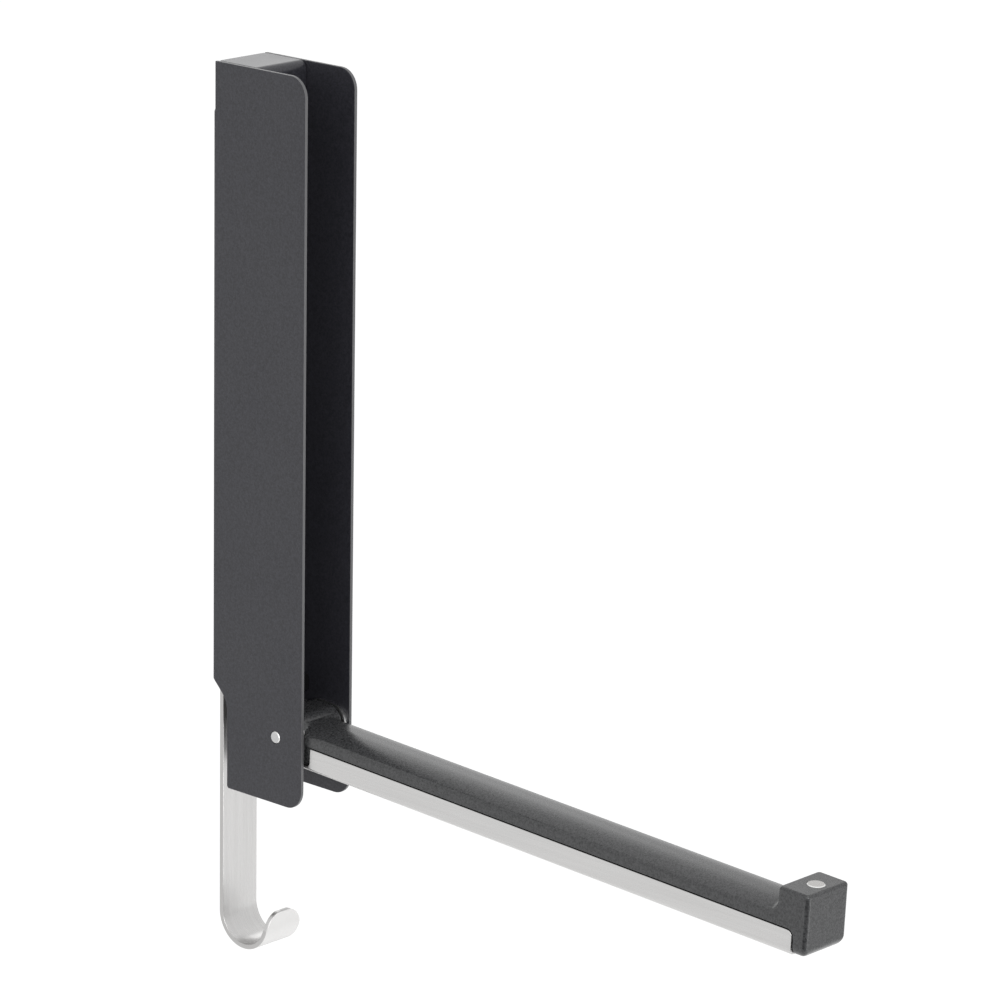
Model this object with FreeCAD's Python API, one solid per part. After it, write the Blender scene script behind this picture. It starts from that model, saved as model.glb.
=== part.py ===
import FreeCAD, Part

import math
import os

# Folding wall hook: a folded sheet channel on the wall, a long arm that swings up into it, and a strap
# hook below. Millimetres. The wall is the plane Y = 0, the arm points to -Y and +Z is up.
# The origin lies on the wall, midway between the two wall screws.

V = FreeCAD.Vector

# Housing channel
housingWidth = 28.0
housingDepth = 50.0
housingHeight = 290.0
sheet = 1.5
housingBendRadius = 2.0
cheekCornerRadius = 8.0
webBottom = 44.5          # the web and all heights below are measured from the housing's lower edge
webTopDrop = 20.0         # bare stretch of the channel's back above the web
lugSetBack = 8.7          # how far the lower part of a cheek stands off the wall
lugBendRadius = 11.0
lugCornerRadius = 1.2
cutEdgeBreak = 0.25

# Wall screws
lowerScrewHeight = 72.0
upperScrewDrop = 38.0     # of the upper screw below the housing's top
screwHoleRadius = 2.7
driverHoleRadius = 5.5

# Cover plate in front of the wall screws
coverDepth = 24.5
coverBendRadius = 3.5
coverBottom = 42.0
coverEdgeGap = 0.2
coverSideDepth = 12.0
coverSideLow = 52.0
coverSideHighDrop = 10.0
coverSideBendRadius = 2.0
coverCornerRadius = 1.5

# Strap hook
strapWidth = 19.0
strapThickness = 2.0
strapTop = 99.0
joggleDrop = 0.9          # of the offset's upper bend below the web's lower edge
joggleHeight = 5.0
joggleRadius = 3.0
hookBendRadius = 11.5     # inside the bend
hookCentreDrop = 54.0     # centre of the bend below the housing's lower edge
hookLipRise = 4.0         # straight end of the lip above that centre
hookLipCornerRadius = 6.0
rivetRadius = 2.0
rivetHeadRadius = 3.6
rivetHeadHeight = 1.2
rivetHeadBreak = 0.6
rivetHeights = {"lower": 55.0, "upper": 89.0}

# Pivot
pinDepth = 35.5
pinHeight = 27.2
pinRadius = 2.5
pinEndChamfer = 0.35
runningGap = 0.05
pressGap = 0.01
hingePlateThickness = 1.4
hingePlateGap = 0.05
hingePlateFront = 13.4    # reach of the plates in front of the pin
hingePlateBack = 8.0
hingePlateTop = 9.8
hingePlateCornerRadius = 6.7
hingePlateFootRadius = 3.0
bushRadius = 4.0

# Arm, measured from the pin: out along the arm, up across it
armDroop = 2.5            # degrees below level while the heel rests on its stop
armWidth = 23.2
armLength = 266.5
knuckleWidth = 21.4
knuckleFront = 12.5
knuckleEdgeBreak = 0.5
hubRadius = 6.5
padStart = 13.6
padStartRound = 0.4
padHeight = 7.1
padArchRadius = 23.0
padUnderside = -0.15
armEdgeRound = 1.8        # along the pad's sides and up the end block
heelLength = 20.0
heelHeight = 8.0
heelCornerRadius = 3.0
blockLength = 14.4
blockHeight = 14.6
blockTopRound = 1.3
blockBottomRound = 4.0
blockBlendRadius = 4.0
coreGap = 0.1
coreCornerRadius = 1.0
coreWall = 1.8
coreRoof = 2.6
ribPitch = 20.0
ribThickness = 1.8
bossRadius = 3.6

# Steel rail under the arm
railSheet = 1.5
railBendRadius = 1.9
railHeight = 9.35
railBottom = -10.0
railStart = -8.0
railFlangeStart = 16.8
railEndInset = 6.5        # how far the rail stops short of the arm's tip
railEndGap = 0.5
railFlangeCornerRadius = 2.5
railReliefRadius = 2.5
railEdgeBreak = 0.25
railScrewInset = 28.0     # of the outer screws from the ends of the flanges
railScrewRadius = 1.5
railScrewHeadRadius = 2.8
railScrewHeadDepth = 1.3
railScrewLength = 8.0
railScrewGap = 0.02       # in the moulding
railScrewClearance = 0.1  # in the rail

# Magnet in the end block and its seat on the cover plate
magnetRadius = 3.4
magnetThickness = 3.0
magnetProud = 0.3
magnetSeatGap = 0.05
magnetEdgeBreak = 0.3
magnetFromTip = 6.2
foldedGap = 0.15

# Stop block on the cover plate's lower edge
stopFront = 28.0
stopBack = 14.0
stopTop = 47.0
stopCornerRadius = 3.5
stopSideGap = 0.3
stopClearance = 0.3
heelSeatGap = 0.02

screwSpacing = housingHeight - upperScrewDrop - lowerScrewHeight
originHeight = lowerScrewHeight + screwSpacing / 2
halfWidth = housingWidth / 2
innerHalf = halfWidth - sheet
coverHalf = innerHalf - coverEdgeGap
webTop = housingHeight - webTopDrop
coverSideHigh = housingHeight - coverSideHighDrop
armHalf = armWidth / 2
knuckleHalf = knuckleWidth / 2
hingePlateInner = innerHalf - hingePlateGap - hingePlateThickness
railInnerHalf = armHalf - railSheet
coreHalf = railInnerHalf - coreGap
railFloor = railBottom + railSheet
railEnd = armLength - railEndInset
railScrewRoot = railFlangeStart + railScrewInset
railScrewTip = railEnd - railScrewInset
railScrews = {"root": railScrewRoot, "middle": (railScrewRoot + railScrewTip) / 2, "tip": railScrewTip}
hingePlateReach = hingePlateCornerRadius + math.hypot(hingePlateFront - hingePlateCornerRadius,
                                                     hingePlateTop - hingePlateCornerRadius)
pin = V(0, -pinDepth, pinHeight)


# Shared helpers

def roundedFace(corners):
    """Flat face through corners (a, b, radius), each corner rounded by a tangent arc."""
    joins = []
    for i, (a, b, radius) in enumerate(corners):
        here = V(a, b, 0)
        back = V(*corners[i - 1][:2], 0) - here
        ahead = V(*corners[(i + 1) % len(corners)][:2], 0) - here
        back.normalize()
        ahead.normalize()
        if radius == 0:
            joins.append((here, None, here))
            continue
        half = back.getAngle(ahead) / 2
        reach = radius / math.tan(half)
        toCentre = (back + ahead).normalize()
        middle = here + toCentre * (radius / math.sin(half) - radius)
        joins.append((here + back * reach, middle, here + ahead * reach))
    edges = []
    for i, (start, middle, end) in enumerate(joins):
        if middle is not None:
            edges.append(Part.Arc(start, middle, end).toShape())
        following = joins[(i + 1) % len(joins)][0]
        if end.distanceToPoint(following) > 1e-6:
            edges.append(Part.LineSegment(end, following).toShape())
    return Part.Face(Part.Wire(edges))


def sideProfile(corners, halfThickness):
    """Solid whose outline lies in the Y-Z plane, centred on X = 0."""
    solid = roundedFace(corners).extrude(V(0, 0, 2 * halfThickness))
    turn = FreeCAD.Rotation(V(1, 1, 1), 120)
    solid.Placement = FreeCAD.Placement(V(-halfThickness, 0, 0), turn)
    return solid


def planProfile(corners, low, high):
    """Solid whose outline lies in the X-Y plane."""
    solid = roundedFace(corners).extrude(V(0, 0, high - low))
    solid.translate(V(0, 0, low))
    return solid


def frontProfile(corners, front, back):
    """Solid whose outline lies in the X-Z plane, from Y = -front to Y = -back."""
    solid = roundedFace(corners).extrude(V(0, 0, front - back))
    turn = FreeCAD.Rotation(V(1, 0, 0), 90)
    solid.Placement = FreeCAD.Placement(V(0, -back, 0), turn)
    return solid


def foldedStrip(path, thickness):
    """Outline corners of a folded strip; path holds (a, b, midline radius) along its middle."""
    sides = {1: [], -1: []}
    for i, (a, b, radius) in enumerate(path):
        here = V(a, b, 0)
        inward = here - V(*path[i - 1][:2], 0) if i > 0 else None
        outward = V(*path[i + 1][:2], 0) - here if i + 1 < len(path) else None
        inward = (inward or outward).normalize()
        outward = (outward or inward).normalize() if outward else inward
        normalIn = V(-inward.y, inward.x, 0)
        normalOut = V(-outward.y, outward.x, 0)
        mitre = (normalIn + normalOut) * (1 / (1 + normalIn.dot(normalOut)))
        turn = math.copysign(1, inward.x * outward.y - inward.y * outward.x)
        for side in sides:
            point = here + mitre * (side * thickness / 2)
            bend = radius - side * turn * thickness / 2 if radius else 0
            sides[side].append((point.x, point.y, bend))
    return sides[1] + sides[-1][::-1]


def box(x0, x1, y0, y1, z0, z1):
    return Part.makeBox(x1 - x0, y1 - y0, z1 - z0, V(x0, y0, z0))


def barAlongX(radius, half, y, z):
    return Part.makeCylinder(radius, 2 * half, V(-half, y, z), V(1, 0, 0))


def barAlongY(radius, x, yFront, yBack, z):
    return Part.makeCylinder(radius, yBack - yFront, V(x, yFront, z), V(0, 1, 0))


def edgesWhere(shape, test):
    return [edge for edge in shape.Edges if test(edge.BoundBox, edge)]


def near(value, target, tolerance=0.01):
    return abs(value - target) < tolerance


def placeArm(shape):
    """Arm shapes are drawn level about their pin at the origin; this sets them in the housing."""
    turned = shape.copy()
    turned.rotate(V(0, 0, 0), V(1, 0, 0), armDroop)
    turned.translate(pin)
    return turned


def screwHeights():
    return [lowerScrewHeight, lowerScrewHeight + screwSpacing]


# Housing: one folded sheet, web on the wall and two cheeks

def cheekPlate(side):
    """Flat side of the channel with its cut edges broken on both faces."""
    outline = [
        (-lugSetBack, 0, lugCornerRadius),
        (-housingDepth, 0, cheekCornerRadius),
        (-housingDepth, housingHeight, cheekCornerRadius),
        (-sheet, housingHeight, 0),
        (-sheet, webTop + sheet, 0),
        (0, webTop, 0),
        (0, webBottom, 0),
        (-lugSetBack, webBottom - lugSetBack, lugBendRadius),
    ]
    plate = sideProfile(outline, sheet / 2)
    plate.translate(V(side * (halfWidth - sheet / 2), 0, 0))
    front = edgesWhere(plate, lambda b, e: near(b.XLength, 0) and near(b.YMax, -housingDepth))
    return plate.makeChamfer(cutEdgeBreak, front)


def housing():
    plan = [
        (-halfWidth, -housingDepth, 0),
        (halfWidth, -housingDepth, 0),
        (halfWidth, 0, housingBendRadius),
        (-halfWidth, 0, housingBendRadius),
    ]
    hollow = [
        (-innerHalf, -housingDepth - 1, 0),
        (innerHalf, -housingDepth - 1, 0),
        (innerHalf, -sheet, housingBendRadius - sheet),
        (-innerHalf, -sheet, housingBendRadius - sheet),
    ]
    outside = planProfile(plan, 0, housingHeight)
    web = outside.cut(planProfile(hollow, -1, housingHeight + 1))
    web = web.common(box(-halfWidth, halfWidth, -housingBendRadius, 0, webBottom, webTop))
    body = web.multiFuse([cheekPlate(side).common(outside) for side in (-1, 1)]).removeSplitter()
    for height in screwHeights():
        body = body.cut(barAlongY(screwHoleRadius, 0, -sheet - 1, 1, height))
    for height in rivetHeights.values():
        body = body.cut(barAlongY(rivetRadius, 0, -sheet - 1, 1, height))
    return body.cut(barAlongX(pinRadius + runningGap, halfWidth + 1, pin.y, pin.z))


# Cover plate: front, top flange and two side flanges folded from one sheet

def coverPlate():
    middle = coverDepth - sheet / 2
    bend = coverBendRadius - sheet / 2
    drop = [
        (-sheet - coverEdgeGap, housingHeight - sheet / 2, 0),
        (-middle, housingHeight - sheet / 2, bend),
        (-middle, coverBottom, 0),
    ]
    plate = sideProfile(foldedStrip(drop, sheet), coverHalf)
    sideBend = coverSideBendRadius - sheet / 2
    tray = [
        (innerHalf - sheet / 2, -coverSideDepth, 0),
        (innerHalf - sheet / 2, -middle, sideBend),
        (-innerHalf + sheet / 2, -middle, sideBend),
        (-innerHalf + sheet / 2, -coverSideDepth, 0),
    ]
    flanges = planProfile(foldedStrip(tray, sheet), coverSideLow, coverSideHigh)
    corners = box(-coverHalf, coverHalf, -coverDepth - 1, -coverDepth + sheet + 1,
                  coverSideLow, coverSideHigh)
    plate = plate.cut(corners).fuse(flanges).removeSplitter()
    backCorners = edgesWhere(plate, lambda b, e: near(b.YMin, -sheet - coverEdgeGap) and near(b.YLength, 0)
                             and near(b.XLength, 0))
    plate = plate.makeFillet(coverCornerRadius, backCorners)
    for height in screwHeights():
        plate = plate.cut(barAlongY(driverHoleRadius, 0, -coverDepth - 1, -coverDepth + sheet + 1, height))
    return plate


# Strap hook: flat bar, offset to lie on the wall below the web, bent round into a J

def strapPath():
    inside = -sheet - strapThickness / 2
    wallSide = -strapThickness / 2
    bend = hookBendRadius + strapThickness / 2
    floor = -hookCentreDrop - bend
    joggleTop = webBottom - joggleDrop
    return [
        (inside, strapTop, 0),
        (inside, joggleTop, joggleRadius),
        (wallSide, joggleTop - joggleHeight, joggleRadius),
        (wallSide, floor, bend),
        (wallSide - 2 * bend, floor, bend),
        (wallSide - 2 * bend, -hookCentreDrop + hookLipRise, 0),
    ]


def hookStrap():
    half = strapWidth / 2
    strap = sideProfile(foldedStrip(strapPath(), strapThickness), half)
    lipTop = -hookCentreDrop + hookLipRise
    lipMiddle = strapThickness + hookBendRadius
    reach = lipMiddle + hookBendRadius + strapThickness + 1
    low = lipTop - 2 * hookLipCornerRadius
    square = box(-half - 1, half + 1, -reach, -lipMiddle, low, lipTop + 1)
    rounded = frontProfile([
        (-half - 1, low, 0),
        (half + 1, low, 0),
        (half + 1, low + 1, 0),
        (half, low + 1, 0),
        (half, lipTop, hookLipCornerRadius),
        (-half, lipTop, hookLipCornerRadius),
        (-half, low + 1, 0),
        (-half - 1, low + 1, 0),
    ], reach, lipMiddle)
    strap = strap.cut(square.cut(rounded)).removeSplitter()
    strap = strap.cut(barAlongY(screwHoleRadius, 0, -10, 1, lowerScrewHeight))
    for height in rivetHeights.values():
        strap = strap.cut(barAlongY(rivetRadius, 0, -10, 1, height))
    return strap


def strapRivet(height):
    """Rivet through web and strap: flush on the wall side, low bevelled head inside."""
    front = -sheet - strapThickness
    shank = barAlongY(rivetRadius - pressGap, 0, front, 0, height)
    head = barAlongY(rivetHeadRadius, 0, front - rivetHeadHeight, front, height)
    rim = edgesWhere(head, lambda b, e: near(b.YMax, front - rivetHeadHeight))
    return shank.fuse(head.makeChamfer(rivetHeadBreak, rim)).removeSplitter()


# Stop block: moulded shoe on the cover plate's lower edge, takes the heel of the arm

def stopBlock():
    half = innerHalf - stopSideGap
    low = pinHeight
    body = frontProfile([
        (-half, low, 0),
        (half, low, 0),
        (half, stopTop, stopCornerRadius),
        (-half, stopTop, stopCornerRadius),
    ], stopFront, stopBack)
    groove = box(-half - 1, half + 1, -coverDepth, -coverDepth + sheet, coverBottom, stopTop + 1)
    belowHeel = placeArm(box(-half - 1, half + 1, 0, 2 * pinDepth, -2 * pinDepth, heelHeight + heelSeatGap))
    aroundKnuckle = barAlongX(hingePlateReach + stopClearance, half + 1, pin.y, pin.z)
    return body.cut(groove).cut(belowHeel).cut(aroundKnuckle)


# Pivot

def hingePin():
    bar = barAlongX(pinRadius, halfWidth, pin.y, pin.z)
    ends = edgesWhere(bar, lambda b, e: near(b.XLength, 0))
    return bar.makeChamfer(pinEndChamfer, ends)


def hingePlate(side):
    """Steel plate between knuckle and cheek, drawn about the pin; its foot stands on the rail's floor."""
    plate = sideProfile([
        (-hingePlateFront, railFloor, hingePlateFootRadius),
        (-hingePlateFront, hingePlateTop, hingePlateCornerRadius),
        (hingePlateBack, hingePlateTop, hingePlateCornerRadius),
        (hingePlateBack, railFloor, hingePlateFootRadius),
    ], hingePlateThickness / 2)
    plate.translate(V(side * (hingePlateInner + hingePlateThickness / 2), 0, 0))
    return plate.cut(barAlongX(pinRadius + runningGap, halfWidth, 0, 0))


def pivotBush():
    """Steel sleeve in the arm's knuckle, drawn about the pin at the origin."""
    bore = barAlongX(pinRadius + runningGap, halfWidth, 0, 0)
    return barAlongX(bushRadius, hingePlateInner, 0, 0).cut(bore)


# Arm moulding: heel, knuckle, saddle pad, core inside the rail and end block in one piece

def saddle():
    """Arched pad that runs up into the end block, its long edges rounded in one sweep."""
    start = armLength - blockLength
    slab = box(-armHalf, armHalf, -start - 1, 0, padUnderside, padHeight + 1)
    archEnd = V(0, -armLength, padHeight - padArchRadius)
    arch = Part.makeCylinder(padArchRadius, armLength, archEnd, V(0, 1, 0))
    block = box(-armHalf, armHalf, -armLength, -start, railBottom, blockHeight)
    body = slab.common(arch).multiFuse([block, blockBlend()]).removeSplitter()
    sweep = edgesWhere(body, lambda b, e: near(b.XLength, 0) and b.YMax > -start - 0.01
                       and 0 < b.ZMin < blockHeight - 1)
    body = body.makeFillet(armEdgeRound, sweep)
    front = edgesWhere(body, lambda b, e: near(b.XLength, 0) and near(b.YMax, -armLength))
    body = body.makeFillet(armEdgeRound, front)
    under = edgesWhere(body, lambda b, e: near(b.ZMax, railBottom) and near(b.YMin, -armLength))
    body = body.makeFillet(blockBottomRound, under)
    top = edgesWhere(body, lambda b, e: near(b.ZMin, blockHeight))
    return body.makeFillet(blockTopRound, top)


def padPlan():
    """The pad from above: as narrow as the knuckle between the hinge plates, full width beyond them."""
    return planProfile([
        (-knuckleHalf, 0, 0),
        (-knuckleHalf, -padStart, padStartRound),
        (-armHalf, -padStart, padStartRound),
        (-armHalf, -armLength, 0),
        (armHalf, -armLength, 0),
        (armHalf, -padStart, padStartRound),
        (knuckleHalf, -padStart, padStartRound),
        (knuckleHalf, 0, 0),
    ], railBottom, blockHeight)


def knuckle():
    """Rounded eye and hub on the pin, with the heel that reaches back to the stop block."""
    eye = sideProfile([
        (-knuckleFront, railFloor, 0),
        (-knuckleFront, hingePlateTop, hingePlateCornerRadius),
        (hingePlateBack, hingePlateTop, hingePlateCornerRadius),
        (hingePlateBack, railFloor, 0),
    ], knuckleHalf)
    rims = edgesWhere(eye, lambda b, e: near(b.XLength, 0) and b.ZMax > railFloor + 1)
    eye = eye.makeChamfer(knuckleEdgeBreak, rims)
    hub = barAlongX(hubRadius, hingePlateInner, 0, 0)
    heel = sideProfile([
        (0, railFloor, 0),
        (heelLength, railFloor, heelCornerRadius),
        (heelLength, heelHeight, heelCornerRadius),
        (0, heelHeight, 0),
    ], knuckleHalf)
    return eye.multiFuse([hub, heel])


def blockBlend():
    """Hollow round between the arched pad and the end block's inner face."""
    start = armLength - blockLength
    face = roundedFace([
        (start - blockBlendRadius, padArchRadius, 0),
        (start, padArchRadius, blockBlendRadius - 0.01),
        (start, padArchRadius + blockBlendRadius, 0),
        (start + 1, padArchRadius + blockBlendRadius, 0),
        (start + 1, padArchRadius - 1, 0),
        (start - blockBlendRadius, padArchRadius - 1, 0),
    ])
    ring = face.revolve(V(0, 0, 0), V(1, 0, 0), 360)
    ring.Placement = FreeCAD.Placement(V(0, 0, padHeight - padArchRadius), FreeCAD.Rotation(V(0, 0, 1), -90))
    return ring.common(box(-armHalf, armHalf, -armLength, 0, padUnderside, blockHeight))


def corePockets():
    """Hollows between the cross ribs, open to the rail below, with a boss left round each rail screw."""
    half = coreHalf - coreWall
    roof = padHeight - coreRoof
    count = int((armLength - blockLength - railFlangeStart) / ribPitch)
    pockets = []
    for i in range(count):
        start = railFlangeStart + ribThickness + i * ribPitch
        end = start + ribPitch - ribThickness
        pockets.append(box(-half, half, -end, -start, railBottom, roof))
    hollow = pockets[0].multiFuse(pockets[1:])
    height = roof - railBottom
    bosses = [Part.makeCylinder(bossRadius, height, V(0, -out, railBottom)) for out in railScrews.values()]
    return hollow.cut(bosses[0].multiFuse(bosses[1:]))


def coreBar(end):
    """The moulding's lower part, which fills the rail."""
    low = railFloor + coreGap
    return frontProfile([
        (-coreHalf, low, coreCornerRadius),
        (coreHalf, low, coreCornerRadius),
        (coreHalf, 0, 0),
        (-coreHalf, 0, 0),
    ], end, 0)


def armBody():
    body = saddle().common(padPlan()).cut(railSpace())
    body = body.multiFuse([coreBar(railEnd + railEndGap), knuckle()]).removeSplitter()
    body = body.cut(corePockets())
    body = body.cut(barAlongX(bushRadius + pressGap, armHalf, 0, 0))
    for out in railScrews.values():
        body = body.cut(Part.makeCylinder(railScrewRadius, railScrewLength + 1, V(0, -out, railBottom)))
    seat = V(0, magnetFromTip - armLength, blockHeight + magnetProud - magnetThickness)
    return body.cut(Part.makeCylinder(magnetRadius + magnetSeatGap, magnetThickness, seat))


def railSpace():
    """Room for the rail's end inside the end block, with an even gap round it."""
    end = railEnd + railEndGap
    space = box(-armHalf - 1, armHalf + 1, -end, 0, railBottom - 1, padUnderside)
    corner = edgesWhere(space, lambda b, e: near(b.YMax, -end) and near(b.ZMin, padUnderside))
    return space.makeFillet(railFlangeCornerRadius + railEndGap, corner).cut(coreBar(end + 1))


# Steel rail: folded U, its floor runs back under the knuckle

def armRail():
    section = [
        (-armHalf + railSheet / 2, railBottom + railHeight, 0),
        (-armHalf + railSheet / 2, railBottom + railSheet / 2, railBendRadius - railSheet / 2),
        (armHalf - railSheet / 2, railBottom + railSheet / 2, railBendRadius - railSheet / 2),
        (armHalf - railSheet / 2, railBottom + railHeight, 0),
    ]
    rail = frontProfile(foldedStrip(section, railSheet), railEnd, railStart)
    relief = sideProfile([
        (-railStart + 1, railFloor, 0),
        (-railFlangeStart, railFloor, railReliefRadius),
        (-railFlangeStart, railBottom + railHeight + 1, 0),
        (-railStart + 1, railBottom + railHeight + 1, 0),
    ], armHalf + 1)
    rail = rail.cut(relief)
    tips = edgesWhere(rail, lambda b, e: near(b.YMin, -railEnd) and near(b.YLength, 0)
                      and near(b.ZMin, railBottom + railHeight) and near(b.ZLength, 0))
    rail = rail.makeFillet(railFlangeCornerRadius, tips)
    rims = edgesWhere(rail, lambda b, e: near(abs(b.XMin), armHalf) and near(b.XLength, 0)
                      and near(b.ZMax, railBottom + railHeight) and near(b.ZLength, 0))
    rail = rail.makeChamfer(railEdgeBreak, rims)
    for out in railScrews.values():
        rail = rail.cut(countersunk(out, railScrewRadius + railScrewClearance,
                                   railScrewHeadRadius + railScrewClearance))
    return rail


def countersunk(out, shankRadius, headRadius):
    """Countersunk screw shape from the rail's underside upwards."""
    base = V(0, -out, railBottom)
    head = Part.makeCone(headRadius, shankRadius, railScrewHeadDepth, base)
    shank = Part.makeCylinder(shankRadius, railScrewLength, base)
    return head.fuse(shank).removeSplitter()


def railScrew(out):
    return countersunk(out, railScrewRadius - railScrewGap, railScrewHeadRadius)


def magnet():
    base = V(0, -(armLength - magnetFromTip), blockHeight + magnetProud - magnetThickness)
    disc = Part.makeCylinder(magnetRadius, magnetThickness, base)
    rim = edgesWhere(disc, lambda b, e: near(b.ZMin, blockHeight + magnetProud))
    return disc.makeChamfer(magnetEdgeBreak, rim)


def foldedAngle():
    """Swing from rest until the magnet is just short of the cover plate."""
    reach = armLength - magnetFromTip - magnetRadius
    excess = blockHeight + magnetProud - (pinDepth - coverDepth - foldedGap)
    radius = math.hypot(reach, blockHeight + magnetProud)
    face = math.atan2(blockHeight + magnetProud, reach)
    lean = math.asin((excess - blockHeight - magnetProud) / radius) + face
    return armDroop + 90 - math.degrees(lean)


def pieces():
    made = {
        "housing": housing(),
        "cover_plate": coverPlate(),
        "hook_strap": hookStrap(),
        "stop_block": stopBlock(),
        "hinge_pin": hingePin(),
        "hinge_plate_left": placeArm(hingePlate(-1)),
        "hinge_plate_right": placeArm(hingePlate(1)),
        "pivot_bush": placeArm(pivotBush()),
        "arm_body": placeArm(armBody()),
        "arm_rail": placeArm(armRail()),
        "magnet": placeArm(magnet()),
    }
    for name, height in rivetHeights.items():
        made["strap_rivet_" + name] = strapRivet(height)
    for name, out in railScrews.items():
        made["rail_screw_" + name] = placeArm(railScrew(out))
    return made


os.makedirs("parts", exist_ok=True)
for name, shape in pieces().items():
    shape.translate(V(0, 0, -originHeight))
    shape.exportStep("parts/" + name + ".step")
    print(name, "solids", len(shape.Solids), "volume", round(shape.Volume, 1), "valid", shape.isValid())
print("fold range in degrees", round(foldedAngle(), 3))
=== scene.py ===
import bmesh
import bpy
import math
from mathutils import Matrix, Vector


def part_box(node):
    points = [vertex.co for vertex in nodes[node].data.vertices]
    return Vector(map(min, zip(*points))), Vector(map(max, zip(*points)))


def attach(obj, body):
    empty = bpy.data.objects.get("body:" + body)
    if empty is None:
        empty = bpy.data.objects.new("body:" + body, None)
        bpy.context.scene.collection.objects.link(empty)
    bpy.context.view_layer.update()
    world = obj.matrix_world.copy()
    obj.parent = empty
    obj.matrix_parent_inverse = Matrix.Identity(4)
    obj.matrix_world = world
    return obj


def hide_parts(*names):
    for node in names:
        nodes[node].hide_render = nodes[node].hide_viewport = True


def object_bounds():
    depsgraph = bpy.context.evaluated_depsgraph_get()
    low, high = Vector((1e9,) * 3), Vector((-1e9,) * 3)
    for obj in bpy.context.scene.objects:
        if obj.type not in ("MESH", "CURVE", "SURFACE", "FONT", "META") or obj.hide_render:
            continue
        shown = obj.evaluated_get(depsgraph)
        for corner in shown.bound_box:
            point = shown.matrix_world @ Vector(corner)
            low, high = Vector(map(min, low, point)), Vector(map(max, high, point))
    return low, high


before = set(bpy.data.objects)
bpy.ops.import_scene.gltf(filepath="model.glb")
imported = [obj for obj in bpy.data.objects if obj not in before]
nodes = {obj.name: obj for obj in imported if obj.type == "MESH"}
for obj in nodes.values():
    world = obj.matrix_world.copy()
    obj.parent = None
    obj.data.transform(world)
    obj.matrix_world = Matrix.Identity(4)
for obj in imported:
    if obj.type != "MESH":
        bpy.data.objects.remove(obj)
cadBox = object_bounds()
print("frame loaded,", len(nodes), "nodes")

mm = 0.001

# The arm rests a little below level, so its grain and its screws lean with it
armPose = {"droop": math.radians(2.5), "pin": Vector((0, -35.5, -134.8)) * mm}
armUp = (0, -math.sin(armPose["droop"]), math.cos(armPose["droop"]))
acrossArm = (1, 0, 0)
noiseSpan = (0.3, 0.7)  # nearly all of a noise lies between these


# Helpers for node trees; a value may be a number or another node's socket

def addNode(tree, kind, values=None, **settings):
    node = tree.nodes.new(kind)
    for name, value in settings.items():
        setattr(node, name, value)
    for socket, value in (values or {}).items():
        if isinstance(value, bpy.types.NodeSocket):
            tree.links.new(value, node.inputs[socket])
        else:
            node.inputs[socket].default_value = value
    return node


def calculate(tree, operation, *values):
    return addNode(tree, "ShaderNodeMath", dict(enumerate(values)), operation=operation).outputs[0]


def calculateVector(tree, operation, *values):
    return addNode(tree, "ShaderNodeVectorMath", dict(enumerate(values)), operation=operation).outputs


def makeVector(tree, **parts):
    return addNode(tree, "ShaderNodeCombineXYZ", parts).outputs[0]


def splitVector(tree, value):
    return addNode(tree, "ShaderNodeSeparateXYZ", {0: value}).outputs


def spread(tree, value, low, high, span=noiseSpan):
    return addNode(tree, "ShaderNodeMapRange", {
        "Value": value, "From Min": span[0], "From Max": span[1], "To Min": low, "To Max": high,
    }).outputs["Result"]


def tint(tree, value, dark, light):
    ramp = addNode(tree, "ShaderNodeValToRGB", {"Fac": value})
    for i, tone in enumerate((dark, light)):
        ramp.color_ramp.elements[i].position = noiseSpan[i]
        ramp.color_ramp.elements[i].color = (*tone, 1)
    return ramp.outputs["Color"]


def mixColours(tree, share, first, second):
    return addNode(tree, "ShaderNodeMix", {0: share, 6: first, 7: second}, data_type="RGBA").outputs[2]


def attribute(tree, name, output="Fac"):
    return addNode(tree, "ShaderNodeAttribute", attribute_name=name).outputs[output]


def stretch(tree, place, scale, turn=0.0):
    return addNode(tree, "ShaderNodeMapping", {
        "Vector": place, "Rotation": (turn, 0, 0), "Scale": scale}).outputs["Vector"]


def objectPlace(tree):
    return addNode(tree, "ShaderNodeTexCoord").outputs["Object"]


def noise(tree, place, size, detail=2.0, rough=0.5):
    return addNode(tree, "ShaderNodeTexNoise", {
        "Vector": place, "Scale": 1 / size, "Detail": detail, "Roughness": rough}).outputs["Fac"]


def bump(tree, height, depth, below=None):
    values = {"Height": height, "Strength": 1.0, "Distance": depth}
    if below is not None:
        values["Normal"] = below
    return addNode(tree, "ShaderNodeBump", values).outputs["Normal"]


def newMaterial(name, shader):
    material = bpy.data.materials.new(name)
    material.use_nodes = True
    tree = material.node_tree
    principled = tree.nodes["Principled BSDF"]
    for socket, value in shader.items():
        principled.inputs[socket].default_value = value
    return material, tree, principled


def finish(tree, principled, colour, roughness, normal):
    tree.links.new(colour, principled.inputs["Base Color"])
    tree.links.new(roughness, principled.inputs["Roughness"])
    tree.links.new(normal, principled.inputs["Normal"])


# Powder coat on the folded sheets: fine orange peel with a slight change of sheen, and a painted highlight, a
# paler tone, on cut edges

coat = {
    "dark": (0.012, 0.012, 0.0155),
    "light": (0.042, 0.042, 0.052),
    # painted highlight: the paler tone given to the cheeks' cut edges
    "paintedEdgeHighlight": (0.115, 0.115, 0.12),
    "housingGloss": (0.38, 0.48),
    "coverGloss": (0.30, 0.38),
    "mottleSize": 0.8 * mm,
    "peelSize": 1.3 * mm,
    "peelDepth": 0.02 * mm,
    "grainSize": 0.35 * mm,
    "grainDepth": 0.012 * mm,
    "cloudSize": 45 * mm,
}


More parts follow.
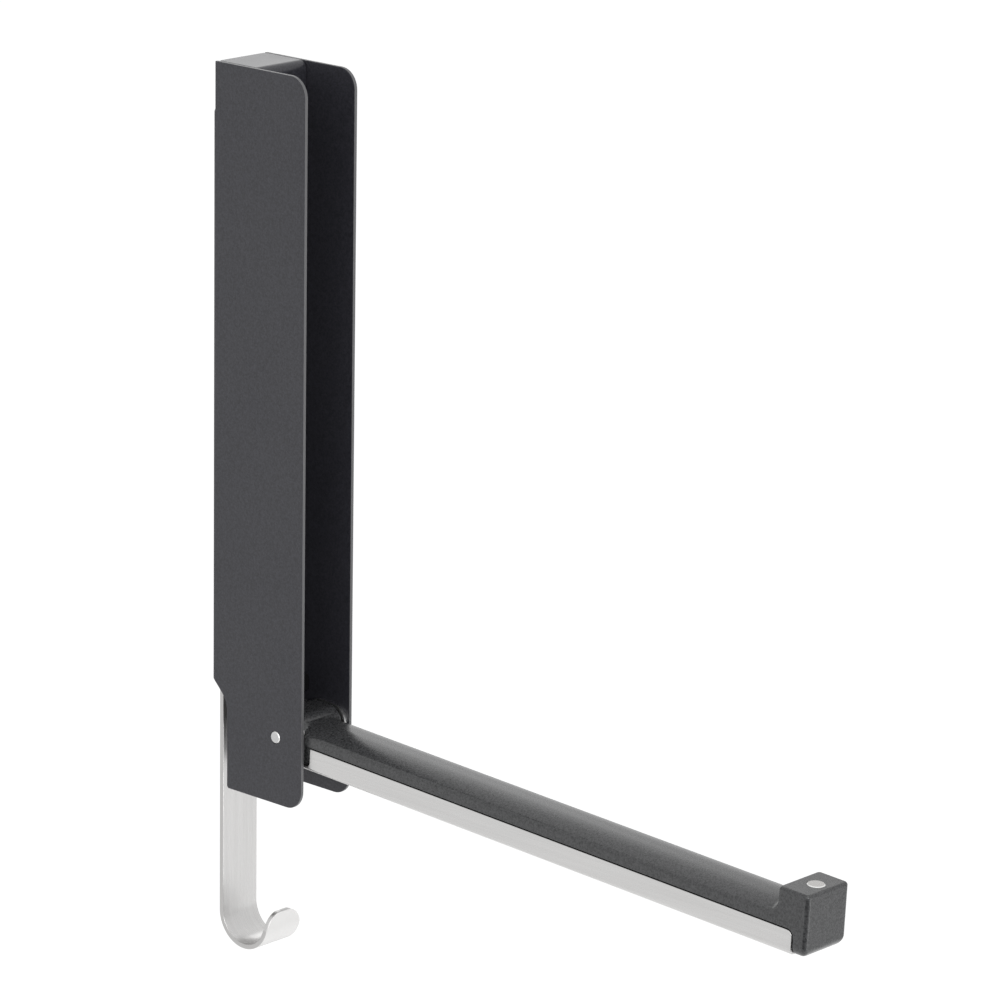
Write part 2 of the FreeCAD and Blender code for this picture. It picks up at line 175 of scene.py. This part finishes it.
def powderCoat(name, gloss):
    material, tree, principled = newMaterial(name, {"IOR": 1.5})
    place = objectPlace(tree)
    cloud = noise(tree, place, coat["cloudSize"], detail=3)
    peel = noise(tree, place, coat["peelSize"], detail=1)
    grain = noise(tree, place, coat["grainSize"], detail=2)
    normal = bump(tree, grain, coat["grainDepth"], bump(tree, peel, coat["peelDepth"]))
    mottle = noise(tree, place, coat["mottleSize"], detail=3, rough=0.7)
    colour = tint(tree, mottle, coat["dark"], coat["light"])
    # painted highlight: the cheeks' cut edges get the paler tone
    colour = mixColours(tree, attribute(tree, "cutEdge"), colour, (*coat["paintedEdgeHighlight"], 1))
    finish(tree, principled, colour, spread(tree, cloud, *gloss), normal)
    return material


# Moulded plastic: fine spark-eroded grain, dark grey on the arm and nearly black on the stop block

mouldGrain = {
    "grainSize": 0.8 * mm,
    "grainDepth": 0.03 * mm,
    "fleckSize": 0.16 * mm,
    "fleckDepth": 0.005 * mm,
}
armLook = {
    "dark": (0.011, 0.0115, 0.0125), "light": (0.086, 0.087, 0.09), "gloss": (0.24, 0.32), "shine": 0.5,
}
stopLook = {
    "dark": (0.003, 0.003, 0.0035), "light": (0.006, 0.006, 0.007), "gloss": (0.5, 0.6), "shine": 0.25,
}


def mouldedPlastic(name, look):
    material, tree, principled = newMaterial(name, {"IOR": 1.5, "Specular IOR Level": look["shine"]})
    place = objectPlace(tree)
    grain = noise(tree, place, mouldGrain["grainSize"], detail=3, rough=0.75)
    fleck = noise(tree, place, mouldGrain["fleckSize"], detail=1)
    normal = bump(tree, fleck, mouldGrain["fleckDepth"], bump(tree, grain, mouldGrain["grainDepth"]))
    colour = tint(tree, grain, look["dark"], look["light"])
    finish(tree, principled, colour, spread(tree, grain, *look["gloss"]), normal)
    return material


# Stainless steel, brushed lengthwise: long fine scratches over a slow change of tone

brushing = {
    "dark": (0.55, 0.545, 0.54),
    "light": (0.585, 0.58, 0.575),
    "gloss": (0.24, 0.36),
    "lineWidth": 0.11 * mm,
    "lineLength": 22 * mm,
    "lineDepth": 0.0011 * mm,
    "bandWidth": 1.3 * mm,
    "bandLength": 70 * mm,
}

# On the strap the cut sides and the lip's end are darker. The outer face, which the lip shows to the front,
# is duller than the inner one and painted paler, a painted reflection that brightens the lip. Each pair of
# distances is where one finish runs into the other.
strapLook = {
    "cutTone": (0.47, 0.465, 0.46),
    "cutBeyond": (9.3 * mm, 9.42 * mm),
    "endWithin": (0.3 * mm, 0.55 * mm),
    # painted reflection: paler tone on the outer face, which brightens the lip's front
    "outerPaintedReflection": (0.635, 0.63, 0.625),
    "outerMatt": 0.18,
    "outerBelow": (-0.9 * mm, -0.7 * mm),
}


# along(tree, scale) gives coordinates whose second axis runs along the brushing
def streaks(tree, along, width, length, detail, rough=0.5):
    return noise(tree, along(tree, (1 / width, 1 / length, 1 / width)), 1.0, detail, rough)


def brushedSteel(name, along, cutSide=None, outerFace=None):
    material, tree, principled = newMaterial(name, {"Metallic": 1.0})
    lines = streaks(tree, along, brushing["lineWidth"], brushing["lineLength"], detail=3, rough=0.6)
    bands = streaks(tree, along, brushing["bandWidth"], brushing["bandLength"], detail=2)
    colour = tint(tree, bands, brushing["dark"], brushing["light"])
    gloss = spread(tree, lines, *brushing["gloss"])
    if outerFace is not None:
        share = outerFace(tree)
        # the paler outer face is a painted reflection that brightens the lip
        colour = mixColours(tree, share, colour, (*strapLook["outerPaintedReflection"], 1))
        gloss = calculate(tree, "ADD", gloss, calculate(tree, "MULTIPLY", share, strapLook["outerMatt"]))
    if cutSide is not None:
        colour = mixColours(tree, cutSide(tree), colour, (*strapLook["cutTone"], 1))
    finish(tree, principled, colour, gloss, bump(tree, lines, brushing["lineDepth"]))
    return material


def alongArm(tree, scale):
    return stretch(tree, objectPlace(tree), scale, turn=-armPose["droop"])


def alongStrap(tree, scale):
    return stretch(tree, attribute(tree, "brushPath", "Vector"), scale)


def strapPlace(tree, axis):
    return splitVector(tree, attribute(tree, "brushPath", "Vector"))[axis]


# 1 on the strap's cut sides and lip end, 0 on its brushed faces
def cutStrapSide(tree):
    away = calculate(tree, "ABSOLUTE", strapPlace(tree, "X"))
    side = spread(tree, away, 0.0, 1.0, strapLook["cutBeyond"])
    end = spread(tree, attribute(tree, "toLip"), 1.0, 0.0, strapLook["endWithin"])
    return calculate(tree, "MAXIMUM", side, end)


def outerStrapFace(tree):
    return spread(tree, strapPlace(tree, "Z"), 1.0, 0.0, strapLook["outerBelow"])


# Turned metal: fine rings about an axis, and on pin and disc a painted highlight, a paler tone, on the broken
# edge from a radius outwards

turned = {
    "ringWidth": 0.22 * mm,
    "ringDepth": 0.0015 * mm,
    # painted highlight on the broken edge of pin and disc
    "paintedEdgeHighlight": (0.85, 0.85, 0.84),
    "edgeBlend": 0.05 * mm,
}
pinLook = {
    "centre": "hinge_pin", "axis": acrossArm, "edgeFrom": 2.15 * mm,
    "dark": (0.46, 0.46, 0.46), "light": (0.6, 0.6, 0.6), "gloss": (0.3, 0.42),
}
plateLook = {
    "centre": "hinge_pin", "axis": acrossArm,
    "dark": (0.5, 0.5, 0.5), "light": (0.6, 0.6, 0.6), "gloss": (0.3, 0.4),
}
magnetLook = {
    "centre": "magnet", "axis": armUp, "edgeFrom": 3.1 * mm,
    "dark": (0.42, 0.41, 0.4), "light": (0.52, 0.51, 0.5), "gloss": (0.2, 0.3),
}
screwLook = {
    "centre": "rail_screw_middle", "axis": armUp,
    "dark": (0.5, 0.5, 0.5), "light": (0.62, 0.62, 0.62), "gloss": (0.3, 0.4),
}


def middle(name):
    low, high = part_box(name)
    return (low + high) / 2


def turnedMetal(name, look):
    material, tree, principled = newMaterial(name, {"Metallic": 1.0})
    offset = calculateVector(tree, "SUBTRACT", objectPlace(tree), tuple(middle(look["centre"])))["Vector"]
    crossed = calculateVector(tree, "CROSS_PRODUCT", offset, look["axis"])["Vector"]
    radius = calculateVector(tree, "LENGTH", crossed)["Value"]
    rings = addNode(tree, "ShaderNodeTexNoise", {
        "W": calculate(tree, "MULTIPLY", radius, 1 / turned["ringWidth"]), "Scale": 1.0, "Detail": 2.0,
    }, noise_dimensions="1D").outputs["Fac"]
    colour = tint(tree, rings, look["dark"], look["light"])
    # paler rim from a radius outwards: a painted highlight
    if "edgeFrom" in look:
        edge = (look["edgeFrom"] - turned["edgeBlend"], look["edgeFrom"] + turned["edgeBlend"])
        colour = mixColours(tree, spread(tree, radius, 0.0, 1.0, edge), colour, (*turned["paintedEdgeHighlight"], 1))
    normal = bump(tree, rings, turned["ringDepth"])
    finish(tree, principled, colour, spread(tree, rings, *look["gloss"]), normal)
    return material


coatMaterial = powderCoat("anthracitePowderCoat", coat["housingGloss"])
coverMaterial = powderCoat("coverPowderCoat", coat["coverGloss"])
armMaterial = mouldedPlastic("armMoulding", armLook)
stopMaterial = mouldedPlastic("stopMoulding", stopLook)
strapMaterial = brushedSteel("strapSteel", alongStrap, cutStrapSide, outerStrapFace)
railMaterial = brushedSteel("railSteel", alongArm)
pinMaterial = turnedMetal("pinSteel", pinLook)
plateMaterial = turnedMetal("plateSteel", plateLook)
magnetMaterial = turnedMetal("magnetNickel", magnetLook)
screwMaterial = turnedMetal("screwSteel", screwLook)
print("materials made")

finishes = {
    "housing": coatMaterial,
    "cover_plate": coverMaterial,
    "arm_body": armMaterial,
    "stop_block": stopMaterial,
    "arm_rail": railMaterial,
    "hinge_pin": pinMaterial,
    "hinge_plate_left": plateMaterial,
    "hinge_plate_right": plateMaterial,
    "pivot_bush": plateMaterial,
    "magnet": magnetMaterial,
    "strap_rivet_lower": screwMaterial,
    "strap_rivet_upper": screwMaterial,
}
for name, material in finishes.items():
    for slot in nodes[name].material_slots:
        slot.material = material


# Helpers for the pieces made here

# An edge stays sharp when its faces meet at more than this many degrees
sharpFrom = {"strap": 40, "screws": 30, "sheets": 40}
flatFaceWeight = 100  # the strongest pull of large faces on the shading beside them


def addObject(name, data):
    made = bpy.data.objects.new(name, data)
    bpy.context.scene.collection.objects.link(made)
    return made


def evaluatedMesh(source):
    bpy.context.view_layer.update()
    return bpy.data.meshes.new_from_object(source.evaluated_get(bpy.context.evaluated_depsgraph_get()))


# Smooth shading in which flat faces stay flat beside their rounded edges
def smoothFaces(piece, sharpAngle):
    piece.data.polygons.foreach_set("use_smooth", [True] * len(piece.data.polygons))
    piece.data.set_sharp_from_angle(angle=math.radians(sharpAngle))
    weighted = piece.modifiers.new("flatFaces", "WEIGHTED_NORMAL")
    weighted.keep_sharp = True
    weighted.weight = flatFaceWeight
    mesh = evaluatedMesh(piece)
    piece.modifiers.clear()
    piece.data = mesh


def newGeometry(name, inputs):
    tree = bpy.data.node_groups.new(name, "GeometryNodeTree")
    tree.interface.new_socket("Geometry", in_out="INPUT", socket_type="NodeSocketGeometry")
    for label, value in inputs.items():
        kind = "NodeSocketInt" if isinstance(value, int) else "NodeSocketFloat"
        tree.interface.new_socket(label, in_out="INPUT", socket_type=kind)
    tree.interface.new_socket("Geometry", in_out="OUTPUT", socket_type="NodeSocketGeometry")
    return tree, addNode(tree, "NodeGroupInput").outputs


def closeGeometry(tree, shape, material):
    real = addNode(tree, "GeometryNodeRealizeInstances", {0: shape}).outputs[0]
    coated = addNode(tree, "GeometryNodeSetMaterial", {0: real, "Material": material}).outputs[0]
    addNode(tree, "NodeGroupOutput", {0: coated})


# Joins or cuts two closed shapes; the exact solver is the one that leaves no open edges here
def combine(tree, operation, first, second):
    node = addNode(tree, "GeometryNodeMeshBoolean", operation=operation, solver="EXACT")
    tree.links.new(first, node.inputs[1 if operation == "UNION" else 0])
    tree.links.new(second, node.inputs[1])
    return node.outputs[0]


def store(tree, shape, name, value, kind="FLOAT"):
    return addNode(tree, "GeometryNodeStoreNamedAttribute", {0: shape, "Name": name, "Value": value},
                   data_type=kind, domain="POINT").outputs[0]


def stored(tree, name):
    return addNode(tree, "GeometryNodeInputNamedAttribute", {"Name": name}, data_type="FLOAT").outputs[0]


def pointPlace(tree):
    return splitVector(tree, addNode(tree, "GeometryNodeInputPosition").outputs[0])


# Runs a geometry tree on a base mesh and gives the plain piece
def growPiece(name, base, tree, inputs):
    holder = addObject(name + "Base", base)
    modifier = holder.modifiers.new("shape", "NODES")
    modifier.node_group = tree
    for item in tree.interface.items_tree:
        if item.in_out == "INPUT" and item.name in inputs:
            modifier[item.identifier] = inputs[item.name]
    mesh = evaluatedMesh(holder)
    bpy.data.objects.remove(holder)
    return addObject(name, mesh)


def lineMesh(name, points):
    mesh = bpy.data.meshes.new(name)
    mesh.from_pydata(points, [(i, i + 1) for i in range(len(points) - 1)], [])
    return mesh


# Strap hook: flat bar swept along its bent path, edges and lip rounded, holes for screw and rivets

strap = {
    "Width": 19 * mm,
    "Thickness": 2 * mm,
    "Edge Round": 0.35 * mm,
    "Edge Steps": 4,
    "Bend Steps": 32,
    "Step": 0.2 * mm,
    "Lip Corner Radius": 8.5 * mm,
    "Lip End Round": 0.6 * mm,
    "Rivet Hole Radius": 2.05 * mm,
    "Screw Hole Radius": 2.7 * mm,
    "Hole Sides": 48,
    "Drill Length": 20 * mm,
}

# The bar's middle line in mm: distances out from the wall, and heights above the origin
strapRun = {
    "insideWeb": 2.5, "onWall": 1.0,
    "top": -63.0, "joggle": -118.4, "joggleHeight": 5.0, "joggleRadius": 3.0,
    "bendCentre": -216.0, "bendRadius": 12.5, "lipRise": 4.0,
    "rivets": (-107.0, -73.0), "screw": -90.0,
}
lipOut = strapRun["onWall"] + 2 * strapRun["bendRadius"]


# Corners of the middle line, each with the radius of its bend
def strapPath():
    run = strapRun
    low = run["bendCentre"] - run["bendRadius"]
    corners = [
        (run["insideWeb"], run["top"], 0),
        (run["insideWeb"], run["joggle"], run["joggleRadius"]),
        (run["onWall"], run["joggle"] - run["joggleHeight"], run["joggleRadius"]),
        (run["onWall"], low, run["bendRadius"]),
        (lipOut, low, run["bendRadius"]),
        (lipOut, run["bendCentre"] + run["lipRise"], 0),
    ]
    mesh = lineMesh("strapPath", [(0, -out * mm, height * mm) for out, height, bend in corners])
    bends = mesh.attributes.new("bend", "FLOAT", "POINT")
    bends.data.foreach_set("value", [bend * mm for out, height, bend in corners])
    return mesh


# The bent path; it keeps the length run so far and the length left to the lip's end
def strapCurve(tree, given):
    path = addNode(tree, "GeometryNodeMeshToCurve", {0: given["Geometry"]}).outputs[0]
    bent = addNode(tree, "GeometryNodeFilletCurve", {
        0: path, "Count": given["Bend Steps"], "Radius": stored(tree, "bend")}, mode="POLY").outputs[0]
    even = addNode(tree, "GeometryNodeResampleCurve", {
        0: bent, "Length": given["Step"]}, mode="LENGTH").outputs[0]
    across = addNode(tree, "GeometryNodeSetCurveNormal", {
        0: even, "Normal": (1, 0, 0)}, mode="FREE").outputs[0]
    run = addNode(tree, "GeometryNodeSplineParameter").outputs["Length"]
    whole = addNode(tree, "GeometryNodeSplineLength").outputs["Length"]
    marked = store(tree, across, "run", run)
    return store(tree, marked, "toLip", calculate(tree, "SUBTRACT", whole, run))


# The bar's section; it keeps each point's place in the thickness
def strapSection(tree, given):
    bar = addNode(tree, "GeometryNodeCurvePrimitiveQuadrilateral", {
        "Width": given["Width"], "Height": given["Thickness"]}).outputs[0]
    soft = addNode(tree, "GeometryNodeFilletCurve", {
        0: bar, "Count": given["Edge Steps"], "Radius": given["Edge Round"]}, mode="POLY").outputs[0]
    return store(tree, soft, "depth", pointPlace(tree)["Y"])


# How much of its size across the bar loses at a distance from its end that a quarter circle rounds
def narrowing(tree, radius, left, across):
    inside = calculate(tree, "MAXIMUM", calculate(tree, "SUBTRACT", radius, left), 0.0)
    squares = calculate(tree, "MULTIPLY", radius, radius), calculate(tree, "MULTIPLY", inside, inside)
    chord = calculate(tree, "SQRT", calculate(tree, "SUBTRACT", *squares))
    lost = calculate(tree, "SUBTRACT", chord, radius)
    return calculate(tree, "DIVIDE", lost, calculate(tree, "MULTIPLY", across, 0.5))


# The lip's corners and end: the bar narrows along quarter circles
def roundLip(tree, given, bar):
    left = stored(tree, "toLip")
    place = pointPlace(tree)
    fromMiddle = calculate(tree, "ADD", place["Y"], lipOut * mm)
    sideways = narrowing(tree, given["Lip Corner Radius"], left, given["Width"])
    inwards = narrowing(tree, given["Lip End Round"], left, given["Thickness"])
    shift = makeVector(tree, X=calculate(tree, "MULTIPLY", place["X"], sideways),
                       Y=calculate(tree, "MULTIPLY", fromMiddle, inwards))
    return addNode(tree, "GeometryNodeSetPosition", {0: bar, "Offset": shift}).outputs[0]


# Coordinates for the brushing that follow the bar: across, along and through it
def mapBrushing(tree, bar):
    around = makeVector(tree, X=pointPlace(tree)["X"], Y=stored(tree, "run"), Z=stored(tree, "depth"))
    return store(tree, bar, "brushPath", around, "FLOAT_VECTOR")


# Round bars that point at the wall, to cut the holes at these heights
def drills(tree, given, heights, radius):
    joined = addNode(tree, "GeometryNodeJoinGeometry")
    for height in heights:
        drill = addNode(tree, "GeometryNodeMeshCylinder", {
            "Vertices": given["Hole Sides"], "Radius": radius, "Depth": given["Drill Length"]}).outputs[0]
        placed = addNode(tree, "GeometryNodeTransform", {
            "Geometry": drill, "Translation": (0, 0, height * mm),
            "Rotation": (math.pi / 2, 0, 0)}).outputs[0]
        tree.links.new(placed, joined.inputs[0])
    return joined.outputs[0]


def makeStrap():
    tree, given = newGeometry("hookStrapShape", strap)
    bar = addNode(tree, "GeometryNodeCurveToMesh", {
        0: strapCurve(tree, given), "Profile Curve": strapSection(tree, given), "Fill Caps": True}).outputs[0]
    bar = mapBrushing(tree, roundLip(tree, given, bar))
    rivetDrills = drills(tree, given, strapRun["rivets"], given["Rivet Hole Radius"])
    screwDrill = drills(tree, given, [strapRun["screw"]], given["Screw Hole Radius"])
    for cutter in (rivetDrills, screwDrill):
        bar = combine(tree, "DIFFERENCE", bar, cutter)
    closeGeometry(tree, bar, strapMaterial)
    piece = growPiece("hookStrapBar", strapPath(), tree, strap)
    smoothFaces(piece, sharpFrom["strap"])
    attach(piece, "frame")
    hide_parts("hook_strap")


makeStrap()
print("strap hook made")


# Rail screws: countersunk heads with a hexagon socket, set along the rail's underside

railScrews = {
    "Count": 3,
    "First": 44.8 * mm,
    "Pitch": 93.6 * mm,
    "Underside": -10.0 * mm,
    "Head Radius": 2.8 * mm,
    "Shank Radius": 1.48 * mm,
    "Head Depth": 1.3 * mm,
    "Length": 8 * mm,
    "Round Sides": 48,
    "Socket Radius": 1.15 * mm,
    "Socket Depth": 1.0 * mm,
    "Socket Sides": 6,
}


# One screw, its head's face at the origin and its shank upwards
def railScrew(tree, given):
    head = addNode(tree, "GeometryNodeMeshCone", {
        "Vertices": given["Round Sides"], "Radius Top": given["Shank Radius"],
        "Radius Bottom": given["Head Radius"], "Depth": given["Head Depth"]}).outputs[0]
    shank = addNode(tree, "GeometryNodeMeshCylinder", {
        "Vertices": given["Round Sides"], "Radius": given["Shank Radius"],
        "Depth": given["Length"]}).outputs[0]
    half = makeVector(tree, Z=calculate(tree, "MULTIPLY", given["Length"], 0.5))
    shank = addNode(tree, "GeometryNodeTransform", {"Geometry": shank, "Translation": half}).outputs[0]
    socket = addNode(tree, "GeometryNodeMeshCylinder", {
        "Vertices": given["Socket Sides"], "Radius": given["Socket Radius"],
        "Depth": calculate(tree, "MULTIPLY", given["Socket Depth"], 2.0)}).outputs[0]
    return combine(tree, "DIFFERENCE", combine(tree, "UNION", head, shank), socket)


def makeRailScrews():
    tree, given = newGeometry("railScrewRow", railScrews)
    first = makeVector(tree, Y=calculate(tree, "MULTIPLY", given["First"], -1.0), Z=given["Underside"])
    step = makeVector(tree, Y=calculate(tree, "MULTIPLY", given["Pitch"], -1.0))
    row = addNode(tree, "GeometryNodeMeshLine", {
        "Count": given["Count"], "Start Location": first, "Offset": step}).outputs[0]
    placed = addNode(tree, "GeometryNodeInstanceOnPoints", {
        "Points": row, "Instance": railScrew(tree, given)}).outputs[0]
    leaned = addNode(tree, "GeometryNodeTransform", {
        "Geometry": placed, "Translation": tuple(armPose["pin"]),
        "Rotation": (armPose["droop"], 0, 0)}).outputs[0]
    closeGeometry(tree, leaned, screwMaterial)
    piece = growPiece("railScrewSet", lineMesh("railScrewBase", [(0, 0, 0)]), tree, railScrews)
    smoothFaces(piece, sharpFrom["screws"])
    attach(piece, "arm")
    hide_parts("rail_screw_root", "rail_screw_middle", "rail_screw_tip")


makeRailScrews()
print("rail screws made")


# Sheet pieces and the arm's moulding: the CAD shape, its small edge breaks squared up, then finely rounded
# (lengths in mm, angles in degrees; breaks gives the half widths at which an edge is broken, and where it
# stands when square)

sheets = {
    "housing": {"name": "housingSheet", "round": 0.28, "breaks": {13.75: 14.0, 12.75: 12.5},
                "body": "frame", "slot": "powder_coat", "material": coatMaterial},
    "cover_plate": {"name": "coverSheet", "round": 0.3, "breaks": {},
                    "body": "frame", "slot": "cover_coat", "material": coverMaterial},
    "arm_rail": {"name": "railChannel", "round": 0.28, "breaks": {11.35: 11.6},
                 "body": "arm", "slot": "rail_steel", "material": railMaterial},
    "arm_body": {"name": "armMouldingShape", "round": 0.22, "breaks": {},
                 "body": "arm", "slot": "arm_plastic", "material": armMaterial},
}
rounding = {
    "mergeWithin": 0.003,
    "breakWithin": 0.004,
    "flatBelow": 1,
    "cornerFrom": 35,
    "steps": 4,
    "profile": 0.5,  # a quarter circle
}
cutEdges = {"sidewaysBelow": 0.8, "beyond": 12.5, "offWall": 4, "offPin": 4}


# Marks the cheeks' cut edges, where the coat gets a painted highlight; the bends at the wall and the pin's
# holes are left out
def markCutEdges(mesh):
    pin = armPose["pin"]
    shares = []
    for face in mesh.polygons:
        place = face.center
        onCheek = abs(place.x) > cutEdges["beyond"] * mm and place.y < -cutEdges["offWall"] * mm
        offPin = math.hypot(place.y - pin.y, place.z - pin.z) > cutEdges["offPin"] * mm
        shares.append(float(abs(face.normal.x) < cutEdges["sidewaysBelow"] and onCheek and offPin))
    mesh.attributes.new("cutEdge", "FLOAT", "FACE").data.foreach_set("value", shares)


def squareBreaks(shape, breaks):
    for vertex in shape.verts:
        for broken, square in breaks.items():
            if abs(abs(vertex.co.x) - broken * mm) < rounding["breakWithin"] * mm:
                vertex.co.x = math.copysign(square * mm, vertex.co.x)


def makeSheet(name, values):
    shape = bmesh.new()
    shape.from_mesh(nodes[name].data)
    shape.transform(nodes[name].matrix_world)
    bmesh.ops.remove_doubles(shape, verts=shape.verts, dist=rounding["mergeWithin"] * mm)
    squareBreaks(shape, values["breaks"])
    bmesh.ops.dissolve_limit(shape, angle_limit=math.radians(rounding["flatBelow"]),
                             verts=shape.verts, edges=shape.edges)
    corners = [edge for edge in shape.edges if len(edge.link_faces) == 2
               and edge.calc_face_angle_signed() > math.radians(rounding["cornerFrom"])]
    bmesh.ops.bevel(shape, geom=corners, offset=values["round"] * mm, offset_type="OFFSET",
                    segments=rounding["steps"], profile=rounding["profile"], affect="EDGES",
                    clamp_overlap=False)
    mesh = bpy.data.meshes.new(values["name"])
    shape.to_mesh(mesh)
    shape.free()
    mesh.materials.append(values["material"])
    if name == "housing":
        markCutEdges(mesh)
    piece = addObject(values["name"], mesh)
    smoothFaces(piece, sharpFrom["sheets"])
    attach(piece, values["body"])
    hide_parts(name)


for name, values in sheets.items():
    makeSheet(name, values)
print("sheet pieces made")


# Floor and surroundings: white, soft from every side

studio = {
    "floorDrop": 1.1,
    "floorSize": 40.0,
    "floorColour": (0.8, 0.8, 0.8, 1),
    "floorGlow": 0.6,
    "skyDiffuse": 0.55,
    "skyColour": (1, 1, 1, 1),
    "darkPatch": {"way": (0.733, -0.672, -0.105), "spread": (3, 11), "level": 0.5},
    "lampTarget": (0, -0.12, -0.03),
}


def clearTree(owner):
    owner.use_nodes = True
    owner.node_tree.nodes.clear()
    return owner.node_tree


def rectangle(name, width, length, height=0.0):
    x, y = width / 2, length / 2
    mesh = bpy.data.meshes.new(name)
    mesh.from_pydata([(-x, -y, height), (x, -y, height), (x, y, height), (-x, y, height)], [], [(0, 1, 2, 3)])
    return mesh


# Sets an object at a place with its lower side towards a direction
def aim(thing, place, way):
    thing.matrix_world = Matrix.Translation(place) @ way.to_track_quat("-Z", "Y").to_matrix().to_4x4()


# 1 for rays from the camera, and for those that metal and glass mirror
def seenDirectly(tree):
    path = addNode(tree, "ShaderNodeLightPath").outputs
    mirrored = calculate(tree, "MAXIMUM", path["Is Camera Ray"], path["Is Glossy Ray"])
    return calculate(tree, "MAXIMUM", mirrored, path["Is Transmission Ray"])


def makeFloor():
    height = cadBox[0][2] - studio["floorDrop"]
    mesh = rectangle("studioFloor", studio["floorSize"], studio["floorSize"], height)
    floor = addObject("studioFloor", mesh)
    material = bpy.data.materials.new("floorPaper")
    tree = clearTree(material)
    paper = addNode(tree, "ShaderNodeBsdfDiffuse", {"Color": studio["floorColour"]}).outputs[0]
    glow = addNode(tree, "ShaderNodeEmission", {"Strength": studio["floorGlow"]}).outputs[0]
    none = addNode(tree, "ShaderNodeEmission", {"Strength": 0.0}).outputs[0]
    choose = addNode(tree, "ShaderNodeMixShader", {0: seenDirectly(tree), 1: none, 2: glow}).outputs[0]
    both = addNode(tree, "ShaderNodeAddShader", {0: choose, 1: paper}).outputs[0]
    addNode(tree, "ShaderNodeOutputMaterial", {"Surface": both})
    mesh.materials.append(material)


# The dark patch shows in reflections only and shades the end block's front a little
def makeSky():
    world = bpy.data.worlds.new("whiteRoom")
    bpy.context.scene.world = world
    tree = clearTree(world)
    patch = studio["darkPatch"]
    way = addNode(tree, "ShaderNodeTexCoord").outputs["Generated"]
    towards = calculateVector(tree, "DOT_PRODUCT", way, patch["way"])["Value"]
    inside, outside = (math.cos(math.radians(angle)) for angle in patch["spread"])
    room = spread(tree, towards, 1.0, patch["level"], (outside, inside))
    fromCamera = addNode(tree, "ShaderNodeLightPath").outputs["Is Camera Ray"]
    level = addNode(tree, "ShaderNodeMix", {0: fromCamera, 2: room, 3: 1.0}, data_type="FLOAT").outputs[0]
    soft = addNode(tree, "ShaderNodeBackground", {
        "Color": studio["skyColour"], "Strength": studio["skyDiffuse"]}).outputs[0]
    white = addNode(tree, "ShaderNodeBackground", {
        "Color": studio["skyColour"], "Strength": level}).outputs[0]
    choose = addNode(tree, "ShaderNodeMixShader", {0: seenDirectly(tree), 1: soft, 2: white}).outputs[0]
    addNode(tree, "ShaderNodeOutputWorld", {"Surface": choose})


lamps = {
    "leftSoftbox": {"from": (-1.7, -0.6, 0.9), "size": 1.2, "power": 3.5},
    "topSoftbox": {"from": (0.3, -0.3, 1.9), "size": 1.4, "power": 5.8},
    "backSoftbox": {"from": (0.66, 0.58, 0.39), "size": 0.45, "power": 0.5},
    "frontSoftbox": {"from": (0.5, -1.8, -0.52), "size": 0.7, "power": 5.0},
    "sideSoftbox": {"from": (-1.0, -1.5, 0.45), "size": 0.8, "power": 10.0},
    "bounceCard": {"from": (0.95, -0.1, -0.85), "size": 0.9, "power": 1.0},
}


def makeLamps():
    for name, values in lamps.items():
        data = bpy.data.lights.new(name, "AREA")
        data.shape = "SQUARE"
        data.size = values["size"]
        data.energy = values["power"]
        lamp = addObject(name, data)
        lamp.visible_camera = False
        place = Vector(values["from"])
        aim(lamp, place, Vector(studio["lampTarget"]) - place)


# A small black card close to the arm's end, seen only in reflections; it draws the dark line down the end
# block's rounded edge

blackCard = {
    "at": (-0.0617, -0.33, -0.1636),
    "facing": (-0.0118, -0.301, -0.147),
    "width": 0.11,
    "height": 0.07,
}


def makeBlackCard():
    mesh = rectangle("blackCard", blackCard["width"], blackCard["height"])
    black = {"Base Color": (0, 0, 0, 1), "Specular IOR Level": 0.0}
    mesh.materials.append(newMaterial("blackCardPaper", black)[0])
    card = addObject("blackCard", mesh)
    place = Vector(blackCard["at"])
    aim(card, place, place - Vector(blackCard["facing"]))
    for rays in ("camera", "diffuse", "transmission", "volume_scatter", "shadow"):
        setattr(card, "visible_" + rays, False)


# Camera: the photograph's own angle, distance and lens

view = {
    "azimuth": -47.52,
    "elevation": 15.62,
    "roll": 0.99,
    "aim": (0.0, -0.1395, -0.0203),
    "distance": 1.8743,
    "lens": 181.2,
    "sensor": 36,
    "farEnd": 100,
}


def makeCamera():
    around, above, tilt = (math.radians(view[angle]) for angle in ("azimuth", "elevation", "roll"))
    back = Vector((math.sin(around) * math.cos(above), -math.cos(around) * math.cos(above), math.sin(above)))
    level = Vector((math.cos(around), math.sin(around), 0))
    upright = back.cross(level)
    right = level * math.cos(tilt) + upright * math.sin(tilt)
    up = upright * math.cos(tilt) - level * math.sin(tilt)
    data = bpy.data.cameras.new("photoCamera")
    data.lens = view["lens"]
    data.sensor_width = view["sensor"]
    data.clip_end = view["farEnd"]
    camera = addObject("photoCamera", data)
    place = Vector(view["aim"]) + back * view["distance"]
    camera.matrix_world = Matrix.Translation(place) @ Matrix((right, up, back)).transposed().to_4x4()
    bpy.context.scene.camera = camera


makeFloor()
makeSky()
makeLamps()
makeBlackCard()
makeCamera()
bpy.context.scene.view_settings.view_transform = "Standard"
print("studio and camera made")
